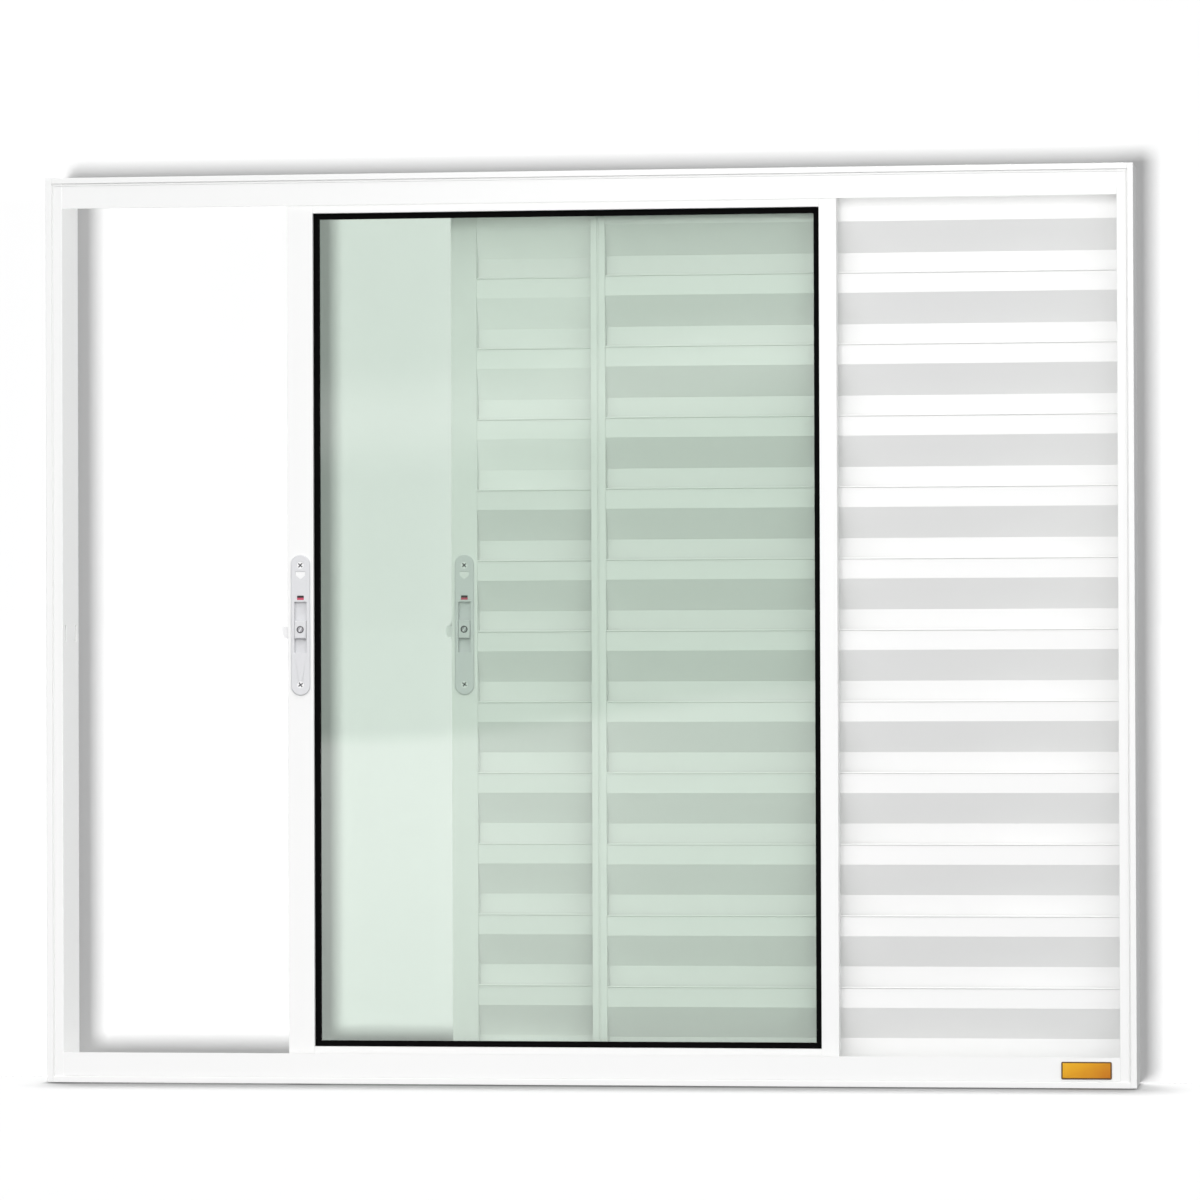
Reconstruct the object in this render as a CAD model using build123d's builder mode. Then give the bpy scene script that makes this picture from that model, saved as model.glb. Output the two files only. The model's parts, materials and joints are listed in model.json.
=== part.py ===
# Louvred sliding window: a three track aluminium frame with a sliding glass leaf on the
# room side, a fixed louvre in the middle track and a sliding louvred leaf outermost.
# X runs along the window, Y from the room (-Y) to the outside (+Y), Z up. The origin is
# at the middle of the sill's underside.

import os
from build123d import *

os.makedirs("parts", exist_ok=True)

# Frame
window_width = 1200.0
window_height = 1000.0
frame_depth = 80.0
frame_wall = 1.6
jamb_face = 18.0
head_face = 34.0
sill_face = 33.0
outer_flange_drop = 13.0
divider_drop = 9.0
bead_inset = 7.5
groove_width = 1.2
groove_depth = 0.6

# Tracks, counted from the room side
first_track = 16.0
track_pitch = 25.0
roller_rail_height = 12.0
guide_fin_length = 22.0
fin_thickness = 2.0
port_bore = 1.9
port_wall = 1.3
port_spacing = 8.0
port_sink = 0.3

# Leaves
leaf_depth = 20.0
leaf_wall = 1.3
lock_stile_width = 28.5
rear_stile_width = 19.0
rail_height = 32.5
leaf_foot_gap = 8.0
leaf_head_gap = 10.0
interlock_cover = 5.0
glass_leaf_open = 252.0
louvre_leaf_open = 427.0
track_notch_clear = 1.6

# Mullion that carries the fixed louvre's left ends
mullion_width = 16.0
mullion_centre = 12.2
mullion_depth = 21.0
mullion_groove = 2.2

# Slats: a lip towards the room, a web that falls outwards, then a lip outside
slat_count = 12
slat_wall = 1.2
slat_depth = 16.0
slat_bend = 0.8
room_lip = 22.5
web_drop = 33.7
lip_overlap = 8.0
first_lip_drop = 23.0
last_web_rise = 17.2
slat_end_seat = 5.0
fixed_lip_cover = 15.0
fixed_foot_cover = 16.5
seat_clear = 0.3

# Glass and its rubber channel
glass_thickness = 4.0
glass_bite = 6.0
rubber_wall = 1.9
rubber_sight = 6.2
rubber_clear = 0.3
pane_clear = 0.05
pocket_depth = 10.0
mitre_gap = 0.3
mitre_length = 32.0

# Locks: face plate, shallow tray behind it, and a narrower body that holds the hook
lock_height = 504.0
plate_length = 155.0
plate_width = 21.5
plate_thickness = 2.2
plate_edge = 0.8
tray_length = 104.0
tray_width = 17.0
tray_depth = 4.0
tray_floor = 1.0
body_length = 56.0
body_width = 10.0
body_depth = 13.0
screw_spacing = 131.6
screw_bore = 2.0
screw_head = 4.1
thumb_slot_length = 56.0
thumb_slot_width = 13.4
thumb_slot_offset = -2.5
slider_length = 19.8
slider_rise = 1.6
slider_offset = -5.0
slider_edge = 1.2
slider_clear = 0.25
flag_length = 5.0
flag_width = 7.8
flag_offset = 30.0
arrow_length = 8.6
arrow_width = 10.8
arrow_offset = 54.5
recess_depth = 0.8
hook_height = 12.4
hook_offset = -7.8
hook_thickness = 3.0
hook_reach = 7.8
hook_root = 3.6
hook_round = 5.6
hook_clear = 0.3
keeper_clear = 3.0
keeper_side_clear = 1.5

# Rollers under each sliding leaf
wheel_radius = 8.0
wheel_width = 5.4
wheel_groove_width = 2.8
wheel_groove = 1.5
axle_radius = 1.6
axle_clear = 0.15
wheel_clear = 0.4
block_length = 46.0
roller_inset = 62.0

# Anchor holes in the jambs and drain slots in the sill
anchor_hole = 2.6
anchor_spacing = 600.0
drain_length = 24.0
drain_height = 5.0
drain_count = 3

# How far a cut runs past the face it opens
cut_past = 1.0

# Worked out from the values above
room_face = -frame_depth / 2
outer_face = frame_depth / 2
inner_half = window_width / 2 - jamb_face
head_edge = window_height - head_face
glass_track = room_face + first_track
fixed_track = glass_track + track_pitch
louvre_track = fixed_track + track_pitch
dividers = (glass_track + track_pitch / 2, fixed_track + track_pitch / 2)
leaf_bottom = leaf_foot_gap
leaf_top = window_height - leaf_head_gap
mullion_left = mullion_centre - mullion_width / 2
mullion_right = mullion_centre + mullion_width / 2
leaf_width = inner_half + mullion_right + interlock_cover
sight_bottom = leaf_bottom + rail_height
sight_top = leaf_top - rail_height
first_lip = head_edge - first_lip_drop
last_lip = sill_face + last_web_rise + web_drop
slat_pitch = (first_lip - last_lip) / (slat_count - 1)
outer_lip = slat_pitch - room_lip - web_drop + lip_overlap
slat_inset = (leaf_depth - slat_depth) / 2
guide_fin_foot = window_height - frame_wall - guide_fin_length
port_ring = port_bore + port_wall
rubber_half = glass_thickness / 2 + rubber_wall
pocket_gap = 2 * (rubber_half + rubber_clear)
rubber_bite = glass_bite + rubber_wall
hook_centre = lock_height + hook_offset
axle_height = roller_rail_height + wheel_radius - wheel_groove + axle_clear
rail_web_foot = rail_height - pocket_depth - leaf_wall


def save(piece, name):
    """Labels a finished piece and writes its STEP file."""
    piece.part.label = name
    export_step(piece.part, f"parts/{name}.step")


def strip(x_one, y_one, x_two, y_two, mode=Mode.ADD):
    """Draws one wall of a section between two opposite corners."""
    with Locations(((x_one + x_two) / 2, (y_one + y_two) / 2)):
        Rectangle(abs(x_two - x_one), abs(y_two - y_one), mode=mode)


def block(low, high, mode=Mode.ADD):
    """Adds or cuts a block between its lowest and highest corners."""
    middle = [(a + b) / 2 for a, b in zip(low, high)]
    with Locations(tuple(middle)):
        Box(*[b - a for a, b in zip(low, high)], mode=mode)


def draw_rail_walls(base, inward, face, fin_tip):
    """Walls that sill and head share, drawn from the outer web at base towards the leaves."""
    web = base + inward * frame_wall
    strip(room_face, base, outer_face, web)
    strip(room_face, base, room_face + frame_wall, base + inward * face)
    for divider in dividers:
        strip(divider - frame_wall / 2, base, divider + frame_wall / 2,
              base + inward * (face - divider_drop))
    for track in (glass_track, louvre_track):
        strip(track - fin_thickness / 2, base, track + fin_thickness / 2,
              base + inward * (fin_tip - fin_thickness / 2))
        with Locations((track, base + inward * (fin_tip - fin_thickness / 2))):
            Circle(fin_thickness / 2)
    with Locations(*[(fixed_track + side * port_spacing / 2, web + inward * (port_ring - port_sink))
                     for side in (-1, 1)]):
        Circle(port_ring)
        Circle(port_bore, mode=Mode.SUBTRACT)
    groove = base + inward * bead_inset
    strip(room_face, groove, room_face + groove_depth, groove - inward * groove_width, Mode.SUBTRACT)


def hollow_box(left, right, track, depth, wall):
    """Draws a rectangular tube across the window, seen from above."""
    strip(left, track - depth / 2, right, track + depth / 2)
    strip(left + wall, track - depth / 2 + wall, right - wall, track + depth / 2 - wall, Mode.SUBTRACT)


def slat_section(start, track, up, lip_top, lip_foot, grow=0.0):
    """The slat's section at X = start, or its notch when grown by a clearance."""
    face = track - leaf_depth / 2 + slat_inset
    back = face + slat_depth - slat_wall
    with BuildSketch(Plane.YZ.offset(start)) as section:
        with BuildLine():
            Polyline((face, up + lip_top), (face, up), (back, up - web_drop),
                     (back, up - web_drop - lip_foot))
            offset(amount=slat_wall, side=Side.LEFT, kind=Kind.INTERSECTION)
        make_face()
        if grow:
            offset(amount=grow, kind=Kind.INTERSECTION)
    return section.sketch


def slat_rows(first_top, last_foot):
    """Height, room lip and outer lip of each slat, with the end ones fitted to their rails."""
    rows = [[first_lip - slat_pitch * index, room_lip, outer_lip] for index in range(slat_count)]
    rows[0][1] = first_top
    rows[-1][2] = last_foot
    return rows


def make_slats(name, left, right, track, rows):
    """Slats between two uprights, each end seated in its notch."""
    start = left - slat_end_seat
    for index, (up, lip_top, lip_foot) in enumerate(rows):
        with BuildPart() as slat:
            extrude(slat_section(start, track, up, lip_top, lip_foot),
                    amount=right - left + 2 * slat_end_seat)
            bends = slat.edges().filter_by(Axis.X).filter_by_position(
                Axis.Z, up - web_drop - 2 * slat_wall, up + 2 * slat_wall)
            fillet(bends, slat_bend)
        save(slat, f"{name}_{index + 1:02d}")


def cut_notches(wall_left, wall_right, track, rows):
    """Cuts a slat-shaped notch for every slat through one wall of an upright."""
    for up, lip_top, lip_foot in rows:
        extrude(slat_section(wall_left - seat_clear, track, up, lip_top, lip_foot, seat_clear),
                amount=wall_right - wall_left + 2 * seat_clear, mode=Mode.SUBTRACT)


def cut_track_notches(left, right, track):
    """Clears the roller rail and the guide fin at the two ends of a stile."""
    half = fin_thickness / 2 + track_notch_clear
    block((left - cut_past, track - half, leaf_bottom - cut_past),
          (right + cut_past, track + half, roller_rail_height + track_notch_clear), Mode.SUBTRACT)
    block((left - cut_past, track - half, guide_fin_foot - track_notch_clear),
          (right + cut_past, track + half, leaf_top + cut_past), Mode.SUBTRACT)


def draw_glazing_pocket(edge, inward, track):
    """Turns the inner edge of a stile section into the channel that holds the rubber."""
    floor = edge - inward * pocket_depth
    strip(edge, track - pocket_gap / 2 - leaf_wall, floor - inward * leaf_wall,
          track + pocket_gap / 2 + leaf_wall)
    strip(edge, track - pocket_gap / 2, floor, track + pocket_gap / 2, Mode.SUBTRACT)


def make_rail(name, left, right, track, edge, inward, glazed):
    """A leaf's rail: two legs over the track, a cross web, and a pocket or a flat face."""
    half = leaf_depth / 2
    top = edge + inward * rail_height
    web = edge + inward * rail_web_foot
    with BuildPart() as rail:
        with BuildSketch(Plane.YZ.offset(left)):
            strip(track - half, edge, track + half, top)
            strip(track - half + leaf_wall, edge, track + half - leaf_wall, web, Mode.SUBTRACT)
            strip(track - half + leaf_wall, web + inward * leaf_wall, track + half - leaf_wall,
                  top - inward * leaf_wall, Mode.SUBTRACT)
            if glazed:
                strip(track - pocket_gap / 2 - leaf_wall, web, track + pocket_gap / 2 + leaf_wall, top)
                strip(track - pocket_gap / 2, web + inward * leaf_wall, track + pocket_gap / 2, top,
                      Mode.SUBTRACT)
        extrude(amount=right - left)
    save(rail, name)


def cut_lock_seat(left, track):
    """Cuts the stile for a lock: the tray's window, the screw holes and the hook's slot."""
    face = track - leaf_depth / 2
    middle = left + lock_stile_width / 2
    half_width = tray_width / 2 + seat_clear
    half_length = tray_length / 2 + seat_clear
    block((middle - half_width, face - cut_past, lock_height - half_length),
          (middle + half_width, face + leaf_wall + seat_clear, lock_height + half_length),
          Mode.SUBTRACT)
    with BuildSketch(Plane.XZ.offset(-face - leaf_wall - seat_clear)) as screw_holes:
        with Locations(*screw_places(middle)):
            Circle(screw_bore)
    extrude(screw_holes.sketch, amount=leaf_wall + 2 * seat_clear, mode=Mode.SUBTRACT)
    half_hook = hook_height / 2 + hook_clear
    hook_half = hook_thickness / 2 + hook_clear
    block((left - cut_past, track - hook_half, hook_centre - half_hook),
          (left + leaf_wall + hook_clear, track + hook_half, hook_centre + half_hook), Mode.SUBTRACT)


def screw_places(middle):
    """Centres of a lock's two screws in the plane of its face."""
    return [(middle, lock_height + side * screw_spacing / 2) for side in (-1, 1)]


def make_lock(name, left, track):
    """Lock case, thumb slider and hook for the stile that starts at X = left."""
    face = track - leaf_depth / 2
    front = face - plate_thickness
    middle = left + lock_stile_width / 2
    tray_left = middle - tray_width / 2
    slot_low = lock_height + thumb_slot_offset - thumb_slot_length / 2
    slot_floor = face + tray_depth - tray_floor
    with BuildPart() as case:
        with BuildSketch(Plane.XZ.offset(-face)):
            with Locations((middle, lock_height)):
                SlotOverall(plate_length, plate_width, rotation=90)
        extrude(amount=plate_thickness)
        chamfer(case.faces().sort_by(Axis.Y)[0].edges(), plate_edge)
        block((tray_left, face, lock_height - tray_length / 2),
              (tray_left + tray_width, face + tray_depth, lock_height + tray_length / 2))
        block((tray_left, face, hook_centre - body_length / 2),
              (tray_left + body_width, face + body_depth, hook_centre + body_length / 2))
        block((middle - thumb_slot_width / 2, front - cut_past, slot_low),
              (middle + thumb_slot_width / 2, slot_floor, slot_low + thumb_slot_length), Mode.SUBTRACT)
        hook_half = hook_thickness / 2 + hook_clear
        half_hook = hook_height / 2 + hook_clear
        block((tray_left - cut_past, track - hook_half, hook_centre - half_hook),
              (tray_left + hook_root, track + hook_half, hook_centre + half_hook), Mode.SUBTRACT)
        with BuildSketch(Plane.XZ.offset(-front - recess_depth)):
            with Locations((middle, lock_height + flag_offset)):
                Rectangle(flag_width, flag_length)
            with BuildLine():
                low = lock_height + arrow_offset - arrow_length / 2
                Polyline((middle - arrow_width / 2, low + arrow_length),
                         (middle + arrow_width / 2, low + arrow_length),
                         (middle + arrow_width / 2, low + arrow_length / 2),
                         (middle, low), (middle - arrow_width / 2, low + arrow_length / 2), close=True)
            make_face()
        extrude(amount=recess_depth + cut_past, mode=Mode.SUBTRACT)
        with Locations(Plane.XZ.offset(-front)):
            with Locations(*screw_places(middle)):
                CounterSinkHole(screw_bore, screw_head, depth=plate_thickness + cut_past)
    save(case, f"{name}_lock_case")

    slider_low = lock_height + slider_offset - slider_length / 2
    half = thumb_slot_width / 2 - slider_clear
    with BuildPart() as slider:
        block((middle - half, front - slider_rise, slider_low),
              (middle + half, slot_floor - slider_clear, slider_low + slider_length))
        fillet(slider.faces().sort_by(Axis.Y)[0].edges(), slider_edge)
    save(slider, f"{name}_lock_slider")

    root = tray_left + hook_root - hook_clear
    with BuildPart() as hook:
        block((left - hook_reach, track - hook_thickness / 2, hook_centre - hook_height / 2),
              (root, track + hook_thickness / 2, hook_centre + hook_height / 2))
        nose = hook.edges().filter_by(Axis.Y).group_by(Axis.X)[0].sort_by(Axis.Z)[0]
        fillet(nose, hook_round)
    save(hook, f"{name}_lock_hook")


def make_rollers(name, left, right, track):
    """Two grooved wheels with their axles, and the blocks that carry them in the bottom rail."""
    places = (left + roller_inset, right - roller_inset)
    half = leaf_depth / 2 - leaf_wall - seat_clear
    with BuildPart() as wheels:
        for place in places:
            with BuildSketch(Plane.XZ.offset(-track)):
                with Locations((place, axle_height)):
                    Circle(wheel_radius)
            extrude(amount=wheel_width / 2, both=True)
            with BuildSketch(Plane.XZ.offset(-track)):
                with Locations((place, axle_height)):
                    Circle(wheel_radius + cut_past)
                    Circle(wheel_radius - wheel_groove, mode=Mode.SUBTRACT)
            extrude(amount=wheel_groove_width / 2, both=True, mode=Mode.SUBTRACT)
            with BuildSketch(Plane.XZ.offset(-track)):
                with Locations((place, axle_height)):
                    Circle(axle_radius)
            extrude(amount=half, both=True)
    save(wheels, f"{name}_roller_wheels")

    block_top = leaf_bottom + rail_web_foot - seat_clear
    block_foot = roller_rail_height + track_notch_clear
    with BuildPart() as blocks:
        for place in places:
            block((place - block_length / 2, track - half, block_foot),
                  (place + block_length / 2, track + half, block_top))
            reach = wheel_radius + wheel_clear
            wheel_half = wheel_width / 2 + wheel_clear
            block((place - reach, track - wheel_half, block_foot - cut_past),
                  (place + reach, track + wheel_half, block_top + cut_past), Mode.SUBTRACT)
            with BuildSketch(Plane.XZ.offset(-track)):
                with Locations((place, axle_height)):
                    Circle(axle_radius + axle_clear)
            extrude(amount=half + cut_past, both=True, mode=Mode.SUBTRACT)
    save(blocks, f"{name}_roller_blocks")


# Sill and head run between the jambs
with BuildPart() as sill:
    with BuildSketch(Plane.YZ.offset(-inner_half)):
        draw_rail_walls(0, 1, sill_face, roller_rail_height)
        strip(outer_face - frame_wall, 0, outer_face, sill_face - outer_flange_drop)
    extrude(amount=inner_half * 2)
    drain_step = inner_half * 2 / drain_count
    for index in range(drain_count):
        middle = -inner_half + drain_step * (index + 0.5)
        block((middle - drain_length / 2, outer_face - frame_wall - cut_past, frame_wall),
              (middle + drain_length / 2, outer_face + cut_past, frame_wall + drain_height),
              Mode.SUBTRACT)
save(sill, "sill")

with BuildPart() as head:
    with BuildSketch(Plane.YZ.offset(-inner_half)):
        draw_rail_walls(window_height, -1, head_face, frame_wall + guide_fin_length)
        strip(outer_face - frame_wall, head_edge + divider_drop, outer_face, window_height)
    extrude(amount=inner_half * 2)
save(head, "head")

# Jambs are closed box sections over the full height
fixed_rows = slat_rows(first_lip_drop + fixed_lip_cover, last_web_rise + fixed_foot_cover)
leaf_rows = slat_rows(sight_top - first_lip - seat_clear, last_lip - web_drop - sight_bottom - seat_clear)

for side, name in ((-1, "jamb_left"), (1, "jamb_right")):
    outer = side * window_width / 2
    inner = side * inner_half
    groove = outer - side * bead_inset
    with BuildPart() as jamb:
        with BuildSketch():
            hollow_box(min(outer, inner), max(outer, inner), 0, frame_depth, frame_wall)
            strip(groove, room_face, groove + side * groove_width, room_face + groove_depth, Mode.SUBTRACT)
        extrude(amount=window_height)
        for up in (-anchor_spacing / 2, anchor_spacing / 2):
            with Locations(Plane((outer, 0, window_height / 2 + up), z_dir=(side, 0, 0))):
                Hole(anchor_hole, depth=frame_wall + cut_past)
        if side < 0:
            half_keeper = hook_height / 2 + keeper_clear
            keeper_half = hook_thickness / 2 + keeper_side_clear
            for track in (glass_track, louvre_track):
                block((inner - frame_wall - cut_past, track - keeper_half, hook_centre - half_keeper),
                      (inner + cut_past, track + keeper_half, hook_centre + half_keeper),
                      Mode.SUBTRACT)
        else:
            cut_notches(inner, inner + frame_wall, fixed_track, fixed_rows)
    save(jamb, name)

# Mullion in the middle track, grooved down its room face
with BuildPart() as mullion:
    front = fixed_track - mullion_depth / 2
    half_groove = mullion_groove / 2
    with BuildSketch(Plane.XY.offset(frame_wall)):
        hollow_box(mullion_left, mullion_right, fixed_track, mullion_depth, leaf_wall)
        strip(mullion_centre - half_groove - leaf_wall, front, mullion_centre + half_groove + leaf_wall,
              front + mullion_groove + leaf_wall)
        strip(mullion_centre - half_groove, front, mullion_centre + half_groove, front + mullion_groove,
              Mode.SUBTRACT)
    extrude(amount=window_height - 2 * frame_wall)
    port_half = port_spacing / 2 + port_ring + seat_clear
    port_rise = 2 * port_ring + seat_clear
    for low in (frame_wall - cut_past, window_height - frame_wall - port_rise):
        block((mullion_left - cut_past, fixed_track - port_half, low),
              (mullion_right + cut_past, fixed_track + port_half, low + port_rise + cut_past),
              Mode.SUBTRACT)
    cut_notches(mullion_right - leaf_wall, mullion_right, fixed_track, fixed_rows)
save(mullion, "mullion")

# Fixed louvre between the mullion and the right jamb
make_slats("fixed_slat", mullion_right, inner_half, fixed_track, fixed_rows)

# Glass leaf
glass_left = -inner_half + glass_leaf_open
glass_right = glass_left + leaf_width
sight_left = glass_left + lock_stile_width
sight_right = glass_right - rear_stile_width

with BuildPart() as glass_lock_stile:
    with BuildSketch(Plane.XY.offset(leaf_bottom)):
        hollow_box(glass_left, sight_left, glass_track, leaf_depth, leaf_wall)
        draw_glazing_pocket(sight_left, 1, glass_track)
    extrude(amount=leaf_top - leaf_bottom)
    cut_track_notches(glass_left, sight_left, glass_track)
    cut_lock_seat(glass_left, glass_track)
save(glass_lock_stile, "glass_leaf_lock_stile")

with BuildPart() as glass_rear_stile:
    with BuildSketch(Plane.XY.offset(leaf_bottom)):
        hollow_box(sight_right, glass_right, glass_track, leaf_depth, leaf_wall)
        draw_glazing_pocket(sight_right, -1, glass_track)
    extrude(amount=leaf_top - leaf_bottom)
    cut_track_notches(sight_right, glass_right, glass_track)
save(glass_rear_stile, "glass_leaf_rear_stile")

make_rail("glass_leaf_bottom_rail", sight_left, sight_right, glass_track, leaf_bottom, 1, True)
make_rail("glass_leaf_top_rail", sight_left, sight_right, glass_track, leaf_top, -1, True)

with BuildPart() as glass_pane:
    block((sight_left - glass_bite, glass_track - glass_thickness / 2, sight_bottom - glass_bite),
          (sight_right + glass_bite, glass_track + glass_thickness / 2, sight_top + glass_bite))
save(glass_pane, "glass_pane")

# Rubber channel in four mitred strips round the pane
with BuildPart() as glazing_rubber:
    block((sight_left - rubber_bite, glass_track - rubber_half, sight_bottom - rubber_bite),
          (sight_right + rubber_bite, glass_track + rubber_half, sight_top + rubber_bite))
    block((sight_left + rubber_sight, glass_track - rubber_half - cut_past, sight_bottom + rubber_sight),
          (sight_right - rubber_sight, glass_track + rubber_half + cut_past, sight_top - rubber_sight),
          Mode.SUBTRACT)
    bite = glass_bite + pane_clear
    half_pane = glass_thickness / 2 + pane_clear
    block((sight_left - bite, glass_track - half_pane, sight_bottom - bite),
          (sight_right + bite, glass_track + half_pane, sight_top + bite), Mode.SUBTRACT)
    for x, turn_x in ((sight_left, 1), (sight_right, -1)):
        for z, turn_z in ((sight_bottom, 1), (sight_top, -1)):
            with Locations(Location((x, glass_track, z), (0, -45 * turn_x * turn_z, 0))):
                Box(mitre_length, 2 * rubber_half + cut_past, mitre_gap, mode=Mode.SUBTRACT)
save(glazing_rubber, "glazing_rubber")

make_lock("glass_leaf", glass_left, glass_track)
make_rollers("glass_leaf", sight_left, sight_right, glass_track)

# Sliding louvred leaf
louvre_left = -inner_half + louvre_leaf_open
louvre_right = louvre_left + leaf_width
slats_left = louvre_left + lock_stile_width
slats_right = louvre_right - rear_stile_width

with BuildPart() as louvre_lock_stile:
    with BuildSketch(Plane.XY.offset(leaf_bottom)):
        hollow_box(louvre_left, slats_left, louvre_track, leaf_depth, leaf_wall)
    extrude(amount=leaf_top - leaf_bottom)
    cut_track_notches(louvre_left, slats_left, louvre_track)
    cut_lock_seat(louvre_left, louvre_track)
    cut_notches(slats_left - leaf_wall, slats_left, louvre_track, leaf_rows)
save(louvre_lock_stile, "louvre_leaf_lock_stile")

with BuildPart() as louvre_rear_stile:
    with BuildSketch(Plane.XY.offset(leaf_bottom)):
        hollow_box(slats_right, louvre_right, louvre_track, leaf_depth, leaf_wall)
    extrude(amount=leaf_top - leaf_bottom)
    cut_track_notches(slats_right, louvre_right, louvre_track)
    cut_notches(slats_right, slats_right + leaf_wall, louvre_track, leaf_rows)
save(louvre_rear_stile, "louvre_leaf_rear_stile")

make_rail("louvre_leaf_bottom_rail", slats_left, slats_right, louvre_track, leaf_bottom, 1, False)
make_rail("louvre_leaf_top_rail", slats_left, slats_right, louvre_track, leaf_top, -1, False)
make_slats("sliding_slat", slats_left, slats_right, louvre_track, leaf_rows)
make_lock("louvre_leaf", louvre_left, louvre_track)
make_rollers("louvre_leaf", slats_left, slats_right, louvre_track)
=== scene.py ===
import json
from math import cos, pi, radians, sin

import bmesh
import bpy
from bmesh.types import BMFace, BMVert
from mathutils import Matrix, Quaternion, Vector


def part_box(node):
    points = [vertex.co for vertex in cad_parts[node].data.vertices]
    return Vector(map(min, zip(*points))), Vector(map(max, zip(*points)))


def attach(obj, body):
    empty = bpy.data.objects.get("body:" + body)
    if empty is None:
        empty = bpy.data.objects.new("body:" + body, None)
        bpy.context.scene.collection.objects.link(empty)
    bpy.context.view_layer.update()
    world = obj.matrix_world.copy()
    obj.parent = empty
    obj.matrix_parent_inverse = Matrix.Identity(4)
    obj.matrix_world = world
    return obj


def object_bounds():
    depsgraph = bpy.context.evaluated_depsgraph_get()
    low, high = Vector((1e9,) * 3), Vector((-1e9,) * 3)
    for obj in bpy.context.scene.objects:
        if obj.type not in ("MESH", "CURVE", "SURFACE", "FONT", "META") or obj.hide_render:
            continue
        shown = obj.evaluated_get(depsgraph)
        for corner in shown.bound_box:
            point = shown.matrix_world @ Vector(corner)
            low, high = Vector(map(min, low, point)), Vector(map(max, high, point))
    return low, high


mm = 0.001
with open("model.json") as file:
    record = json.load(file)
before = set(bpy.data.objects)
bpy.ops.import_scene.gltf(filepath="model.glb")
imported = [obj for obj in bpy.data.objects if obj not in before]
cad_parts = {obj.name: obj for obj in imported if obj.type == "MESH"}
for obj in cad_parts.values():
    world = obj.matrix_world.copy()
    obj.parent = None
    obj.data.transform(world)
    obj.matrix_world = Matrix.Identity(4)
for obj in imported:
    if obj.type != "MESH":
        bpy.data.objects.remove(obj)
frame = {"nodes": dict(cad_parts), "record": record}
frameLow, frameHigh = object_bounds()
nodes = frame["nodes"]
scene = bpy.context.scene
print("frame loaded with", len(nodes), "nodes")


class Wire:  # a socket that can stand in a sum
    def __init__(self, look, socket):
        self.look = look
        self.socket = socket

    def sum(self, operation, first, second):
        return self.look.node("Math", {"operation": operation}, {0: first, 1: second})

    def __add__(self, other):
        return self.sum("ADD", self, other)

    def __sub__(self, other):
        return self.sum("SUBTRACT", self, other)

    def __rsub__(self, other):
        return self.sum("SUBTRACT", other, self)

    def __mul__(self, other):
        return self.sum("MULTIPLY", self, other)

    def __abs__(self):
        return self.look.node("Math", {"operation": "ABSOLUTE"}, {0: self})

    __radd__ = __add__
    __rmul__ = __mul__


class Look:  # the nodes of a material, or of the world, being wired up
    def __init__(self, name, store=bpy.data.materials):
        self.owner = store.new(name)
        self.owner.use_nodes = True
        self.tree = self.owner.node_tree
        self.tree.nodes.clear()

    def node(self, kind, settings=None, inputs=None, output=0):
        made = self.tree.nodes.new("ShaderNode" + kind)
        for key, value in (settings or {}).items():
            if key == "stops":
                ramp = made.color_ramp.elements
                while len(ramp) < len(value):
                    ramp.new(0.5)
                for stop, (place, colour) in zip(ramp, value):
                    stop.position = place
                    stop.color = (*colour, 1)
            else:
                setattr(made, key, value)
        for key, value in (inputs or {}).items():
            if isinstance(value, Wire):
                self.tree.links.new(value.socket, made.inputs[key])
            elif isinstance(value, tuple) and made.inputs[key].type == "RGBA":
                made.inputs[key].default_value = (*value, 1)
            else:
                made.inputs[key].default_value = value
        return Wire(self, made.outputs[output])

    def noise(self, scale, detail):  # on the piece's own coordinates, in metres
        place = self.node("TexCoord", output="Object")
        return self.node("TexNoise", {}, {"Vector": place, "Scale": scale, "Detail": detail})

    def along(self, axis):
        return self.node("SeparateXYZ", {}, {0: self.node("TexCoord", output="Object")}, axis)

    def blend(self, share, first, second):
        return self.node("Mix", {"data_type": "RGBA"}, {0: share, 6: first, 7: second}, 2)

    def bump(self, height, depth, strength):
        return self.node("Bump", {}, {"Height": height, "Distance": depth, "Strength": strength})

    def spread(self, value, low, high, lowOut=0.0, highOut=1.0):  # an eased step between two values
        return self.node("MapRange", {"interpolation_type": "SMOOTHSTEP"}, {
            "Value": value, "From Min": low, "From Max": high, "To Min": lowOut, "To Max": highOut})

    def done(self, shader, kind="OutputMaterial"):
        end = self.tree.nodes.new("ShaderNode" + kind)
        self.tree.links.new(shader.socket, end.inputs["Surface"])
        return self.owner


# Finishes
coat = {"base": (0.895, 0.895, 0.885), "shade": (0.87, 0.875, 0.87), "refraction": 1.5,
        "roughness": 0.36, "cloudRoughness": 0.1, "grainRoughness": 0.06,
        "cloudScale": 3.0, "cloudDetail": 3.0, "grainScale": 620.0, "grainDetail": 2.0,
        "grainDepth": 0.03 * mm, "grainStrength": 0.5}


def makeWhiteCoat():  # powder coat on aluminium, with a faint orange peel
    look = Look("whiteCoat")
    cloud = look.noise(coat["cloudScale"], coat["cloudDetail"])
    grain = look.noise(coat["grainScale"], coat["grainDetail"])
    roughness = coat["roughness"] + coat["cloudRoughness"] * (cloud - 0.5)
    roughness = roughness + coat["grainRoughness"] * (grain - 0.5)
    return look.done(look.node("BsdfPrincipled", {}, {
        "Base Color": look.blend(cloud, coat["base"], coat["shade"]),
        "Roughness": roughness, "IOR": coat["refraction"],
        "Normal": look.bump(grain, coat["grainDepth"], coat["grainStrength"])}))


glass = {"tint": (0.632, 0.722, 0.652), "lampTint": (0.80, 0.87, 0.82), "refraction": 1.47,
         "waverScale": 2.2, "waverDetail": 1.0, "waverDepth": 0.06 * mm, "waverStrength": 0.3}


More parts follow.
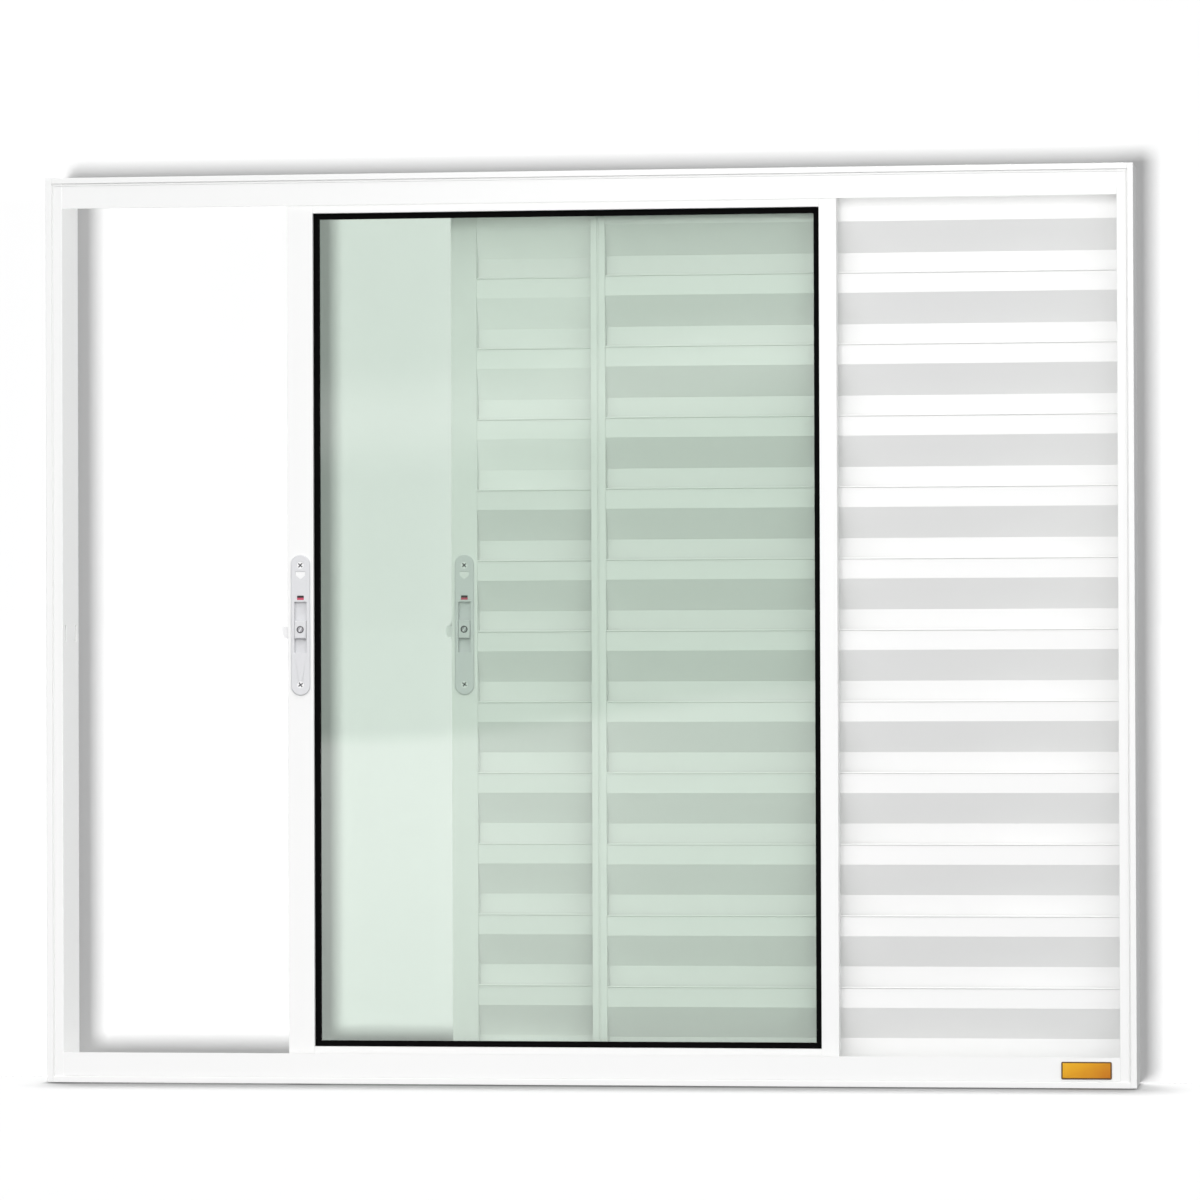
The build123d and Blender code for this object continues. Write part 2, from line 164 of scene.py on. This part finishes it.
def makePaneGlass():  # green float glass that lets the lamps through
    look = Look("paneGlass")
    waver = look.noise(glass["waverScale"], glass["waverDetail"])
    seen = look.node("BsdfPrincipled", {}, {
        "Base Color": glass["tint"], "Roughness": 0.0, "IOR": glass["refraction"], "Transmission Weight": 1.0,
        "Normal": look.bump(waver, glass["waverDepth"], glass["waverStrength"])})
    clear = look.node("BsdfTransparent", {}, {"Color": glass["lampTint"]})
    lamp = look.node("LightPath", output="Is Shadow Ray")
    return look.done(look.node("MixShader", {}, {0: lamp, 1: seen, 2: clear}))


plain = {"detail": 3.0, "roughnessSpread": 0.16, "strength": 0.5}


def makePlain(name, colour, second, roughness, scale, depth, metallic=0.0, refraction=1.5):
    look = Look(name)
    cloud = look.noise(scale, plain["detail"])
    return look.done(look.node("BsdfPrincipled", {}, {
        "Base Color": look.blend(cloud, colour, second), "Metallic": metallic, "IOR": refraction,
        "Roughness": roughness + plain["roughnessSpread"] * (cloud - 0.5),
        "Normal": look.bump(cloud, depth, plain["strength"])}))


whiteCoat = makeWhiteCoat()
paneGlass = makePaneGlass()
blackRubber = makePlain("blackRubber", (0.001, 0.001, 0.001), (0.004, 0.004, 0.004), 0.6, 420, 0.03 * mm,
                        refraction=1.08)
lockGrey = makePlain("lockGrey", (0.71, 0.715, 0.73), (0.67, 0.675, 0.69), 0.34, 380, 0.02 * mm)
rollerNylon = makePlain("rollerNylon", (0.05, 0.05, 0.055), (0.075, 0.075, 0.08), 0.5, 300, 0.03 * mm)
screwWhite = makePlain("screwWhite", (0.90, 0.90, 0.90), (0.86, 0.86, 0.87), 0.34, 900, 0.01 * mm)
# near black: painted shade in the screws' cross drives and the stud's slot; the stud's rim and skirt take it
# too
driveDark = makePlain("driveDark", (0.03, 0.03, 0.035), (0.06, 0.06, 0.065), 0.5, 900, 0.01 * mm, 0.2)
rivetSteel = makePlain("rivetSteel", (0.30, 0.30, 0.32), (0.42, 0.42, 0.44), 0.35, 700, 0.02 * mm, 0.3)
flagBlack = makePlain("flagBlack", (0.012, 0.008, 0.010), (0.02, 0.014, 0.016), 0.4, 500, 0.01 * mm)
flagRed = makePlain("flagRed", (0.52, 0.03, 0.09), (0.62, 0.06, 0.13), 0.4, 500, 0.01 * mm)
arrowWhite = makePlain("arrowWhite", (0.90, 0.90, 0.90), (0.87, 0.87, 0.87), 0.4, 500, 0.01 * mm)
rimBrown = makePlain("rimBrown", (0.09, 0.045, 0.012), (0.14, 0.07, 0.015), 0.4, 200, 0.02 * mm, 0.4)

slotLooks = {"white_aluminium": whiteCoat, "clear_glass": paneGlass, "black_rubber": blackRubber,
             "lock_grey": lockGrey, "roller_nylon": rollerNylon}
for part in frame["record"]["subparts"]:
    mesh = nodes[part["node"]].data
    mesh.materials.clear()
    isHook = part["node"].endswith("_hook")
    mesh.materials.append(screwWhite if isHook else slotLooks[part["material_slot"]])
print("finishes on the frame's nodes")

# New pieces
sharp = radians(30)  # a turn between two faces above this counts as an edge
aligned = 0.9  # a direction counts as along an axis above this share of its length
snap = 1e-7  # how near to a vertex, in metres, a cut goes through it
faceRoom = Matrix.Rotation(pi / 2, 4, "X")  # turns a shape that faces up to face the room


def addPiece(name, bm, looks):
    bmesh.ops.recalc_face_normals(bm, faces=bm.faces)
    mesh = bpy.data.meshes.new(name)
    bm.to_mesh(mesh)
    bm.free()
    for look in looks:
        mesh.materials.append(look)
    piece = bpy.data.objects.new(name, mesh)
    scene.collection.objects.link(piece)
    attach(piece, "root")


def makeBlock(bm, low, high):
    size = Vector(high) - Vector(low)
    middle = (Vector(high) + Vector(low)) / 2
    place = Matrix.Translation(middle) @ Matrix.Diagonal((*size, 1))
    return bmesh.ops.create_cube(bm, size=1, matrix=place)["verts"]


def easeEdges(bm, edges, width, segments=2):
    bmesh.ops.bevel(bm, geom=edges, offset=width, affect="EDGES", segments=segments, profile=0.5, material=-1)


def softenEdges(bm, width):
    easeEdges(bm, [e for e in bm.edges if len(e.link_faces) == 2 and e.calc_face_angle(0) > sharp], width)


def onlyKind(made, kind):  # the vertices or the faces of what an operator made
    return [item for item in made if isinstance(item, kind)]


def cutAcross(bm, lines, normals=(Vector((1, 0, 0)), Vector((0, 1, 0)))):  # divides the faces along lines
    for normal in normals:
        for line in lines:
            bmesh.ops.bisect_plane(bm, geom=bm.verts[:] + bm.edges[:] + bm.faces[:], dist=snap,
                                   plane_co=normal * line, plane_no=normal)


def paintFace(face, number):  # gives a face and the faces beside it the piece's look of that number
    face.material_index = number
    for edge in face.edges:
        for side in edge.link_faces:
            side.material_index = number


def sinkFaces(bm, chosen, depth, number):
    made = bmesh.ops.extrude_face_region(bm, geom=chosen)["geom"]
    bmesh.ops.delete(bm, geom=chosen, context="FACES_ONLY")
    bmesh.ops.translate(bm, vec=(0, 0, -depth), verts=onlyKind(made, BMVert))
    for face in onlyKind(made, BMFace):
        paintFace(face, number)


def setFacing(bm, spot, turn):  # brings a fitting to its place, facing the room
    place = Matrix.Translation(spot) @ faceRoom @ Matrix.Rotation(turn, 4, "Z")
    bmesh.ops.transform(bm, verts=bm.verts, matrix=place)


screw = {"offset": 65.8 * mm, "radius": 3.9 * mm, "shank": 1.9 * mm, "depth": 1.9 * mm, "drop": 0.12 * mm,
         "sides": 40, "driveLength": 3.0 * mm, "driveWidth": 1.25 * mm, "driveDepth": 0.7 * mm}


def makeScrew(name, spot, turn):  # countersunk head with a cross drive
    bm = bmesh.new()
    bmesh.ops.create_cone(bm, cap_ends=True, segments=screw["sides"], radius1=screw["shank"],
                          radius2=screw["radius"], depth=screw["depth"])
    bmesh.ops.translate(bm, verts=bm.verts, vec=(0, 0, -screw["depth"] / 2))
    half, reach = screw["driveWidth"] / 2, screw["driveLength"]
    cutAcross(bm, (-reach, -half, half, reach))
    cross = []
    for face in bm.faces:
        x, y = face.calc_center_median().xy
        inside = (abs(x) < half and abs(y) < reach) or (abs(y) < half and abs(x) < reach)
        if face.normal.z > aligned and inside:
            cross.append(face)
    # the sunk cross is painted near black as shade in the recess
    sinkFaces(bm, cross, screw["driveDepth"], 1)
    setFacing(bm, spot, turn)
    addPiece(name, bm, (screwWhite, driveDark))


rivet = {"radius": 3.9 * mm, "sides": 40, "sunk": 0.3 * mm, "rise": 0.55 * mm, "rim": 0.9 * mm,
         "lip": 0.2 * mm, "slotWidth": 1.5 * mm, "slotDepth": 0.4 * mm, "slotShare": 0.9}


def makeRivet(name, spot, turn):  # slotted stud that holds the slider
    bm = bmesh.new()
    bmesh.ops.create_circle(bm, cap_ends=True, segments=rivet["sides"], radius=rivet["radius"])
    bmesh.ops.translate(bm, verts=bm.verts, vec=(0, 0, -rivet["sunk"]))
    skirt = bmesh.ops.extrude_face_region(bm, geom=bm.faces[:])["geom"]
    bmesh.ops.translate(bm, verts=onlyKind(skirt, BMVert), vec=(0, 0, rivet["rise"]))
    top = max(bm.faces, key=lambda f: f.calc_center_median().z)
    for face in bm.faces:
        face.material_index = 1
    bmesh.ops.inset_region(bm, faces=[top], thickness=rivet["rim"], depth=0)
    bmesh.ops.inset_region(bm, faces=[top], thickness=rivet["lip"], depth=-rivet["lip"])
    top.material_index = 0
    half = rivet["slotWidth"] / 2
    cutAcross(bm, (half, -half), (Vector((1, 0, 0)),))
    inner = rivet["radius"] - rivet["rim"] - rivet["lip"]
    slot = []
    for face in bm.faces:
        middle = face.calc_center_median()
        inSlot = abs(middle.x) < half * rivet["slotShare"] and middle.xy.length < inner
        if face.normal.z > aligned and inSlot:
            slot.append(face)
    # the sunk slot is painted near black as shade in the recess
    sinkFaces(bm, slot, rivet["slotDepth"], 1)
    setFacing(bm, spot, turn)
    addPiece(name, bm, (rivetSteel, driveDark))


flag = {"offset": 30.0 * mm, "width": 7.4 * mm, "height": 2.3 * mm, "floor": 0.8 * mm, "thick": 0.3 * mm,
        "edge": 0.08 * mm}


def makeFlag(name, middle, height, front):  # the open and shut marks in their window
    left, right, back = middle - flag["width"] / 2, middle + flag["width"] / 2, front + flag["floor"]
    for mark, look, step in (("black", flagBlack, 0), ("red", flagRed, -1)):
        bm = bmesh.new()
        low = height + step * flag["height"]
        makeBlock(bm, (left, back - flag["thick"], low), (right, back, low + flag["height"]))
        softenEdges(bm, flag["edge"])
        addPiece(f"{name}_{mark}", bm, (look,))


arrow = {"offset": 54.5 * mm, "width": 10.4 * mm, "height": 8.2 * mm, "floor": 0.8 * mm, "thick": 0.35 * mm,
         "edge": 0.08 * mm}


def makeArrow(name, middle, height, front):  # pale inlay that points to the slider
    bm = bmesh.new()
    half, low = arrow["width"] / 2, height - arrow["height"] / 2
    top = low + arrow["height"]
    outline = ((-half, top), (half, top), (half, height), (0, low), (-half, height))
    face = bm.faces.new([bm.verts.new((middle + x, front + arrow["floor"], z)) for x, z in outline])
    made = bmesh.ops.extrude_face_region(bm, geom=[face])["geom"]
    bmesh.ops.translate(bm, verts=onlyKind(made, BMVert), vec=(0, -arrow["thick"], 0))
    softenEdges(bm, arrow["edge"])
    addPiece(name, bm, (arrowWhite,))


turns = {"glass_leaf": (radians(48), radians(36), radians(-30)),  # upper screw, lower screw and stud
         "louvre_leaf": (radians(42), radians(52), radians(-35))}
for leaf, (upperTurn, lowerTurn, studTurn) in turns.items():
    low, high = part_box(leaf + "_lock_case")
    middle, centre, front = (low.x + high.x) / 2, (low.z + high.z) / 2, low.y
    makeScrew(leaf + "_upper_screw", (middle, front + screw["drop"], centre + screw["offset"]), upperTurn)
    makeScrew(leaf + "_lower_screw", (middle, front + screw["drop"], centre - screw["offset"]), lowerTurn)
    sliderLow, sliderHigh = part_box(leaf + "_lock_slider")
    makeRivet(leaf + "_slider_stud", (middle, sliderLow.y, (sliderLow.z + sliderHigh.z) / 2), studTurn)
    makeFlag(leaf + "_flag", middle, centre + flag["offset"], front)
    makeArrow(leaf + "_arrow", middle, centre + arrow["offset"], front)
print("lock fittings")

plate = {"left": 518.5 * mm, "right": 573 * mm, "low": 9.5 * mm, "high": 28.5 * mm, "thick": 0.9 * mm,
         "corner": 1.6 * mm, "cornerSegments": 5, "rim": 1.5 * mm, "dome": 0.25 * mm}
gold = {"stops": [(0.0, (0.84, 0.46, 0.015)), (0.45, (0.74, 0.34, 0.006)), (1.0, (0.54, 0.17, 0.002))],
        "across": 0.7, "down": 0.4, "cloud": 0.25, "cloudScale": 60, "cloudDetail": 2.0, "refraction": 1.25,
        "roughness": 0.32, "cloudRoughness": 0.1, "depth": 0.03 * mm, "strength": 0.4}


def makeGold():  # darker to the right and towards the foot
    look = Look("plateGold")
    share = (look.along("X") - plate["left"]) * (gold["across"] / (plate["right"] - plate["left"]))
    share = share + (plate["high"] - look.along("Z")) * (gold["down"] / (plate["high"] - plate["low"]))
    cloud = look.noise(gold["cloudScale"], gold["cloudDetail"])
    colour = look.node("ValToRGB", {"stops": gold["stops"]}, {0: share + gold["cloud"] * (cloud - 0.5)})
    return look.done(look.node("BsdfPrincipled", {}, {
        "Base Color": colour, "IOR": gold["refraction"],
        "Roughness": gold["roughness"] + gold["cloudRoughness"] * cloud,
        "Normal": look.bump(cloud, gold["depth"], gold["strength"])}))


def makePlate():  # the bare plate on the sill's room face
    front = frameLow.y
    bm = bmesh.new()
    low = (plate["left"], front - plate["thick"], plate["low"])
    high = (plate["right"], front, plate["high"])
    makeBlock(bm, low, high)
    upright = [e for e in bm.edges if abs((e.verts[0].co - e.verts[1].co).normalized().y) > aligned]
    easeEdges(bm, upright, plate["corner"], plate["cornerSegments"])
    face = min(bm.faces, key=lambda f: f.calc_center_median().y)
    bmesh.ops.inset_region(bm, faces=[face], thickness=plate["rim"], depth=0)
    bmesh.ops.inset_region(bm, faces=[face], thickness=plate["dome"], depth=plate["dome"])
    paintFace(face, 1)
    addPiece("sill_plate", bm, (rimBrown, makeGold()))


makePlate()
print("plate on the sill")

bead = {"seat": 0.2 * mm, "segments": 3, "width": 6.5 * mm, "rise": 1.5 * mm, "edge": 0.5 * mm,
        "gap": 1.3 * mm, "rib": 1.3 * mm, "ribRise": 0.6 * mm, "ribEdge": 0.25 * mm}


def makeBead():  # the raised rim round the room face and the thin rib inside it, which the sill doesn't have
    left, right, foot, top = frameLow.x, frameHigh.x, frameLow.z, frameHigh.z
    face, wide = frameLow.y, bead["width"]
    near = wide + bead["gap"]
    far = near + bead["rib"]
    rims = ((left, left + wide, foot, top), (right - wide, right, foot, top),
            (left + wide, right - wide, top - wide, top), (left + wide, right - wide, foot, foot + wide))
    ribs = ((left + near, left + far, foot + wide, top - near),
            (right - far, right - near, foot + wide, top - near),
            (left + far, right - far, top - far, top - near))
    bm = bmesh.new()
    for bars, rise, edge in ((rims, bead["rise"], bead["edge"]), (ribs, bead["ribRise"], bead["ribEdge"])):
        made = []
        for barLeft, barRight, barFoot, barTop in bars:
            made += makeBlock(bm, (barLeft, face - rise, barFoot), (barRight, face + bead["seat"], barTop))
        front = [e for v in made for e in v.link_edges if all(end.co.y < face for end in e.verts)]
        easeEdges(bm, list(dict.fromkeys(front)), edge, bead["segments"])
    addPiece("frame_bead", bm, (whiteCoat,))


makeBead()

roll = {"radius": 0.9 * mm, "sides": 14, "proud": 0.2 * mm, "drop": 0.6 * mm, "endGap": 5.2 * mm, "slats": 12}


def makeRolls(louvre):  # the rolled top edge of each slat's room lip, from the second slat down
    bm = bmesh.new()
    for number in range(2, roll["slats"] + 1):
        low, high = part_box(f"{louvre}_{number:02d}")
        spot = Vector(((low.x + high.x) / 2, low.y - roll["proud"], high.z - roll["drop"]))
        bmesh.ops.create_cone(bm, cap_ends=True, segments=roll["sides"], radius1=roll["radius"],
                              radius2=roll["radius"], depth=high.x - low.x - 2 * roll["endGap"],
                              matrix=Matrix.Translation(spot) @ Matrix.Rotation(pi / 2, 4, "Y"))
    addPiece(louvre + "_rolled_edges", bm, (whiteCoat,))


for louvre in ("fixed_slat", "sliding_slat"):
    makeRolls(louvre)
print("rim and rolled edges")

eased = {"width": 0.35 * mm, "segments": 2, "weld": 0.01 * mm}
for node in nodes.values():  # eases the sharp edges of the bare profiles and the locks
    if node.data.materials[0] in (whiteCoat, lockGrey):
        node.modifiers.new("weld", "WELD").merge_threshold = eased["weld"]
        ease = node.modifiers.new("ease", "BEVEL")
        ease.width = eased["width"]
        ease.segments = eased["segments"]
        ease.limit_method = "ANGLE"
        ease.angle_limit = sharp
print("edges eased")

# Camera where the photograph was taken from
shot = {"place": Vector((842.7, -6342.3, 452.4)) * mm, "yaw": 0.1302, "pitch": 0.0122, "roll": -0.0033,
        "focalPixels": 5816.5, "framePixels": 1200, "sensor": 36.0, "farEnd": 60}
cameraData = bpy.data.cameras.new("camera")
cameraData.sensor_width = shot["sensor"]
cameraData.lens = shot["focalPixels"] / shot["framePixels"] * shot["sensor"]
cameraData.clip_end = shot["farEnd"]
camera = bpy.data.objects.new("camera", cameraData)
yaw, pitch = shot["yaw"], shot["pitch"]
ahead = Vector((-sin(yaw) * cos(pitch), cos(yaw) * cos(pitch), sin(pitch)))
camera.location = shot["place"]
camera.rotation_mode = "QUATERNION"
camera.rotation_quaternion = ahead.to_track_quat("-Z", "Y") @ Quaternion((0, 0, 1), shot["roll"])
scene.collection.objects.link(camera)
scene.camera = camera

# Floor and backdrop
stage = {"reach": 14.0, "height": 9.0, "wallGap": 5 * mm, "wallGrey": 0.35, "wallGlow": 0.25,
         "floorGrey": 0.35, "floorGlow": 0.30, "stileMiddle": -0.33, "paneEnd": 0.1, "midHeight": 0.5,
         "headMiddle": 0.985}
paintedContactShadow = {"across": (68 * mm, 56 * mm), "along": (606 * mm, 598 * mm)}  # painted shadow: the dark line on the floor under the sill


def addStage(name, bm, material, hiddenFrom):
    mesh = bpy.data.meshes.new(name)
    bm.to_mesh(mesh)
    bm.free()
    mesh.materials.append(material)
    piece = bpy.data.objects.new(name, mesh)
    scene.collection.objects.link(piece)
    for ray in hiddenFrom:
        setattr(piece, "visible_" + ray, False)
    return piece


def makePaper(name, grey, glow, isFloor):  # its glow, which lights nothing, sets how deep its shadows are
    look = Look(name)
    sight = look.node("LightPath", output="Is Camera Ray")
    sight = sight + look.node("LightPath", output="Is Transmission Ray")
    strength = glow * sight
    # on the floor the glow is taken away near the frame's foot, which paints a contact shadow
    if isFloor:
        across = look.spread(abs(look.along("Y")), *paintedContactShadow["across"])
        along = look.spread(abs(look.along("X")), *paintedContactShadow["along"])
        strength = strength * (1.0 - across * along)
    paper = look.node("BsdfDiffuse", {}, {"Color": (grey, grey, grey)})
    lit = look.node("Emission", {}, {"Color": (1.0, 1.0, 1.0), "Strength": strength})
    both = look.node("AddShader", {}, {0: paper, 1: lit})
    if not isFloor:  # the backdrop is seen from the room only
        back = look.node("NewGeometry", output="Backfacing")
        both = look.node("MixShader", {}, {0: back, 1: both, 2: look.node("BsdfTransparent")})
    return look.done(both)


def makeUpright(left, right, low, high, y):  # a sheet that faces the room
    bm = bmesh.new()
    place = Matrix.Translation(((left + right) / 2, y, (low + high) / 2)) @ faceRoom
    size = Matrix.Diagonal(((right - left) / 2, (high - low) / 2, 1, 1))
    bmesh.ops.create_grid(bm, x_segments=1, y_segments=1, size=1, matrix=place @ size)
    return bm


hidden = ("diffuse", "glossy", "shadow")
floorSheet = bmesh.new()
bmesh.ops.create_grid(floorSheet, x_segments=1, y_segments=1, size=stage["reach"])
floorPaper = makePaper("floorPaper", stage["floorGrey"], stage["floorGlow"], True)
floor = addStage("floor", floorSheet, floorPaper, hidden)

# The backdrop's parts meet behind the head, a stile or the slats, or where both sides look the same
reach, bayEnd, paneEnd = stage["reach"], stage["stileMiddle"], stage["paneEnd"]
middle, top = stage["midHeight"], stage["headMiddle"]
wallParts = {"bayLow": (-reach, bayEnd, 0, middle), "bayHigh": (-reach, bayEnd, middle, top),
             "paneLow": (bayEnd, paneEnd, 0, middle), "paneHigh": (bayEnd, paneEnd, middle, top),
             "wallLow": (paneEnd, reach, 0, middle), "wallHigh": (paneEnd, reach, middle, stage["height"]),
             "wallAbove": (-reach, paneEnd, top, stage["height"])}
wallPaper = makePaper("wallPaper", stage["wallGrey"], stage["wallGlow"], False)
walls = [addStage(name, makeUpright(*sides, frameHigh.y + stage["wallGap"]), wallPaper, hidden)
         for name, sides in wallParts.items()]

# What the pane reflects: a bright zone low down, a soft band above it and a glow at the top right
sweep = {"y": -3.0, "left": -2.3, "right": 1.1, "low": -1.0, "high": 2.4, "colour": (1.0, 0.93, 0.96),
         "base": 0.35, "turn": (-0.75, 0.05), "zoneGlow": 3.0, "zoneTop": 0.342, "zoneRise": 0.085,
         "zoneEdge": (0.02, -0.02), "zoneFade": (-0.25, 0.3, 0.45, 1.0), "sideFade": 0.45, "bandGlow": 1.5,
         "bandHeight": 0.86, "bandRise": 0.10, "bandEdge": (0.11, 0.0),
         "topGlow": 1.0, "topEdge": (0.7, 1.15)}


def makeSweep():
    look = Look("sweepGlow")
    height = look.along("Z")
    turn = look.spread(look.along("X"), *sweep["turn"])
    zone = look.spread(height - (sweep["zoneTop"] + sweep["zoneRise"] * turn), *sweep["zoneEdge"])
    fade = look.spread(height, *sweep["zoneFade"]) * (1.0 - sweep["sideFade"] * turn)
    top = look.spread(height, *sweep["topEdge"]) * turn
    band = look.spread(abs(height - (sweep["bandHeight"] + sweep["bandRise"] * turn)), *sweep["bandEdge"])
    strength = sweep["base"] + sweep["zoneGlow"] * zone * fade
    strength = strength + sweep["bandGlow"] * band + sweep["topGlow"] * top
    return look.done(look.node("Emission", {}, {"Color": sweep["colour"], "Strength": strength}))


sweepSheet = makeUpright(sweep["left"], sweep["right"], sweep["low"], sweep["high"], sweep["y"])
addStage("sweep", sweepSheet, makeSweep(), ("camera", "diffuse", "transmission", "shadow"))

# Light
light = {"air": (0.98, 0.99, 1.0), "airMiddle": 0.335, "airSlope": 0.03,
         "sky": 2.16, "skyFrom": Vector((0.15, -0.8, 0.75)), "skySoft": radians(110),
         "key": 18.3, "keyPlace": Vector((0.2, -2.7, 1.3)), "keySize": 0.9,
         "rear": 1.25, "rearFrom": Vector((0.0, 0.85, 0.5)), "rearSoft": radians(12),
         "jamb": 1.15, "jambFrom": Vector((1.0, 0.02, 0.1)), "jambSoft": radians(5),
         "web": 0.9, "webFrom": Vector((-0.1, -0.25, -1.0)), "webSoft": radians(20), "webSlats": 4,
         "floor": 5.2, "floorFrom": Vector((-0.02, 0.07, 1.0)), "floorSoft": radians(5)}
wallLight = {"power": 12900.0, "size": 5.8, "y": -25.0,  # and each lamp's X and Z
             "bayLow": (-6.5, -2.2), "bayHigh": (-6.5, -4.2),
             "paneLow": (-2.1, -2.2), "paneHigh": (-2.1, -4.2),
             "wallLow": (-4.3, -2.2), "wallHigh": (-4.3, -4.2), "wallAbove": (-4.3, -4.2)}


def addLamp(name, kind, strength, comesFrom, spread):
    data = bpy.data.lights.new(name, kind)
    data.energy = strength
    if kind == "SUN":
        data.angle = spread
    else:
        data.size = spread
    lamp = bpy.data.objects.new(name, data)
    lamp.rotation_mode = "QUATERNION"
    lamp.rotation_quaternion = comesFrom.to_track_quat("Z", "Y")
    lamp.location = comesFrom
    scene.collection.objects.link(lamp)
    return lamp


def linkTo(lamp, use, state, *pieces):  # which pieces a lamp lights, or which cast its shadows
    group = bpy.data.collections.new(lamp.name + use)
    for piece in pieces:
        group.objects.link(piece)
    setattr(lamp.light_linking, use + "_collection", group)
    for member in group.collection_objects:
        member.light_linking.link_state = state


skyLamp = addLamp("skyLamp", "SUN", light["sky"], light["skyFrom"], light["skySoft"])
keyLamp = addLamp("keyLamp", "AREA", light["key"], light["keyPlace"], light["keySize"])
rearLamp = addLamp("rearLamp", "SUN", light["rear"], light["rearFrom"], light["rearSoft"])
pane = nodes["glass_pane"]
for lamp, passed in ((skyLamp, (nodes["head"], pane)), (keyLamp, (pane,)), (rearLamp, (pane,))):
    linkTo(lamp, "receiver", "EXCLUDE", *walls, floor, pane)
    linkTo(lamp, "blocker", "EXCLUDE", *passed)
jambLamp = addLamp("jambLamp", "SUN", light["jamb"], light["jambFrom"], light["jambSoft"])
jambLamp.data.use_shadow = False
linkTo(jambLamp, "receiver", "INCLUDE", nodes["jamb_left"])
webLamp = addLamp("webLamp", "SUN", light["web"], light["webFrom"], light["webSoft"])
webLamp.data.use_shadow = False
upperSlats = [nodes[f"sliding_slat_{number:02d}"] for number in range(1, light["webSlats"] + 1)]
linkTo(webLamp, "receiver", "INCLUDE", *upperSlats)
for wall in walls:  # the photo's shadow differs from bay to bay
    x, z = wallLight[wall.name]
    place = Vector((x, wallLight["y"], z))
    wallLamp = addLamp(wall.name + "Lamp", "AREA", wallLight["power"], place, wallLight["size"])
    linkTo(wallLamp, "receiver", "INCLUDE", wall)
    linkTo(wallLamp, "blocker", "EXCLUDE", pane)
floorLamp = addLamp("floorLamp", "SUN", light["floor"], light["floorFrom"], light["floorSoft"])
linkTo(floorLamp, "receiver", "INCLUDE", floor)


def makeAir():  # white where it is seen, and a soft fill light everywhere else
    look = Look("studio", bpy.data.worlds)
    upward = look.node("SeparateXYZ", {}, {0: look.node("TexCoord", output="Generated")}, "Z")
    strength = light["airMiddle"] + light["airSlope"] * upward
    fill = look.node("Background", {}, {"Color": light["air"], "Strength": strength})
    bounces = look.node("LightPath", output="Diffuse Depth")
    direct = 1.0 - look.node("Math", {"operation": "MINIMUM"}, {0: bounces, 1: 1.0})
    through = direct * look.node("LightPath", output="Is Transmission Ray")
    seen = look.node("LightPath", output="Is Camera Ray") + through
    backdrop = look.node("Background", {}, {"Color": (1.0, 1.0, 1.0), "Strength": 1.0})
    return look.done(look.node("MixShader", {}, {0: seen, 1: fill, 2: backdrop}), "OutputWorld")


scene.world = makeAir()
scene.view_settings.view_transform = "Standard"
print("camera, stage and light")
